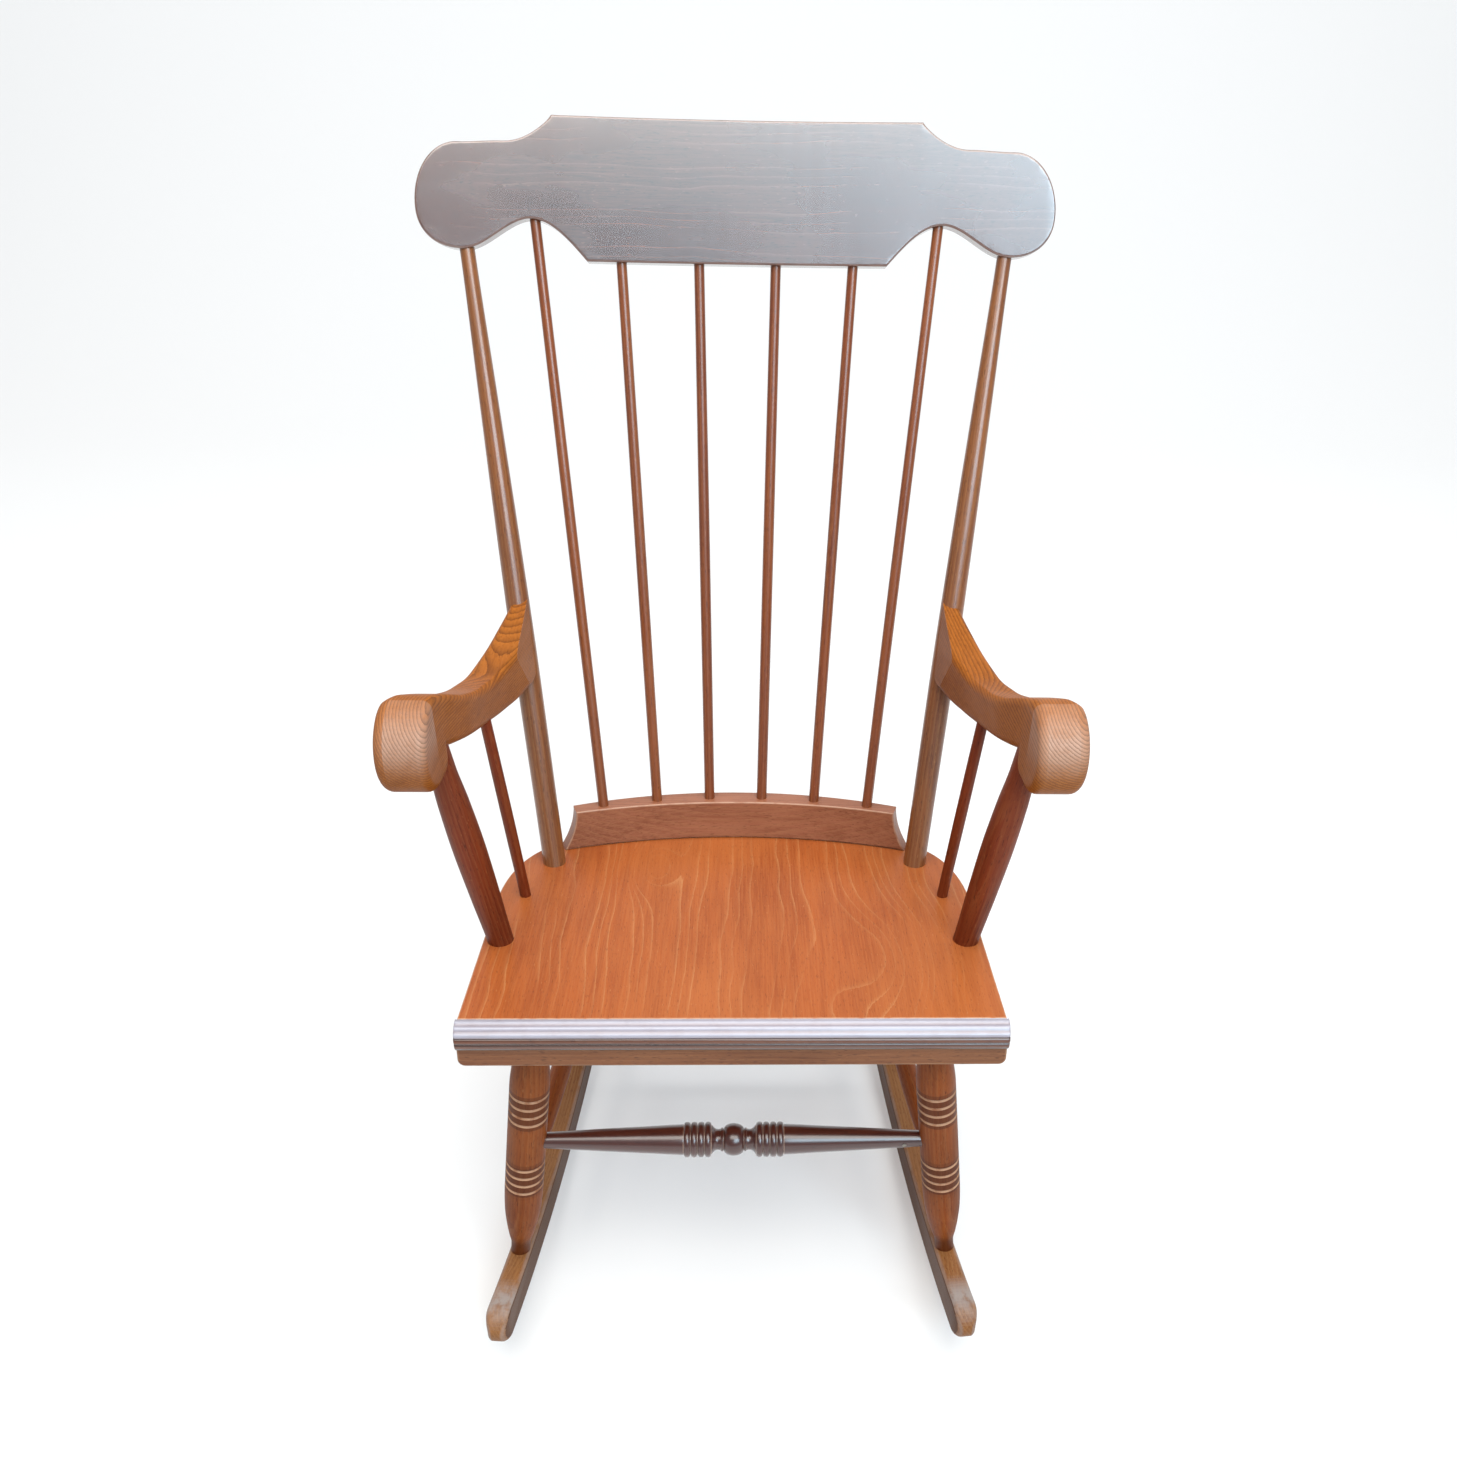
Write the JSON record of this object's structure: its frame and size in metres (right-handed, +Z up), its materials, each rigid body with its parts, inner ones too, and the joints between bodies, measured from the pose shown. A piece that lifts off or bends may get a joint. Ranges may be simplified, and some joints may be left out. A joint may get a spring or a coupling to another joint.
{
  "type": "rocking chair",
  "caption": "Spindle-back wooden rocking chair with shaped crest rail, rolled arms, tilted plank seat with reeded front, ringed turned legs and long curved rockers.",
  "frame": {"origin": "on the floor, below the middle of the bounding box", "axes": "+Z up, chair faces -Y, +X to the right of a viewer facing its front"},
  "size_m": [0.6406, 0.7602, 1.0946],
  "materials": {
    "seat": "stained and lacquered beech, satin, cathedral figure front to back",
    "nose": "stained beech, glossy lacquer, reeded",
    "rail": "stained beech, satin, pale worn edges",
    "crest": "dark brown stained beech, glossy lacquer, grain along the rail",
    "post": "stained beech, turned, satin",
    "spindle": "stained beech, turned, satin",
    "arm": "golden brown stained beech, polished by use",
    "stump": "red-brown stained beech, turned",
    "leg": "stained beech, turned, with pale scored rings",
    "rocker": "stained beech, sawn, satin",
    "stretcher": "very dark red-brown stain, glossy, turned beads",
    "steel": "dull wood screw and pin"
  },
  "bodies": {
    "root": {"arm_left": "arm", "arm_right": "arm", "arm_screw_left": "steel", "arm_screw_right": "steel", "arm_spindle_left": "spindle", "arm_spindle_right": "spindle", "arm_stump_left": "stump", "arm_stump_right": "stump", "back_post_left": "post", "back_post_right": "post", "back_rail": "rail", "back_spindle_1": "spindle", "back_spindle_2": "spindle", "back_spindle_3": "spindle", "back_spindle_4": "spindle", "back_spindle_5": "spindle", "back_spindle_6": "spindle", "crest_rail": "crest", "front_leg_left": "leg", "front_leg_right": "leg", "front_stretcher": "stretcher", "rail_dowel_left": "spindle", "rail_dowel_middle": "spindle", "rail_dowel_right": "spindle", "rear_leg_left": "leg", "rear_leg_right": "leg", "rear_stretcher": "stretcher", "rocker_left": "rocker", "rocker_right": "rocker", "seat_front_batten": "rocker", "seat_front_nose": "nose", "seat_panel": "seat", "side_stretcher_left": "leg", "side_stretcher_right": "leg", "stretcher_brad": "steel"}
  },
  "joints": []
}
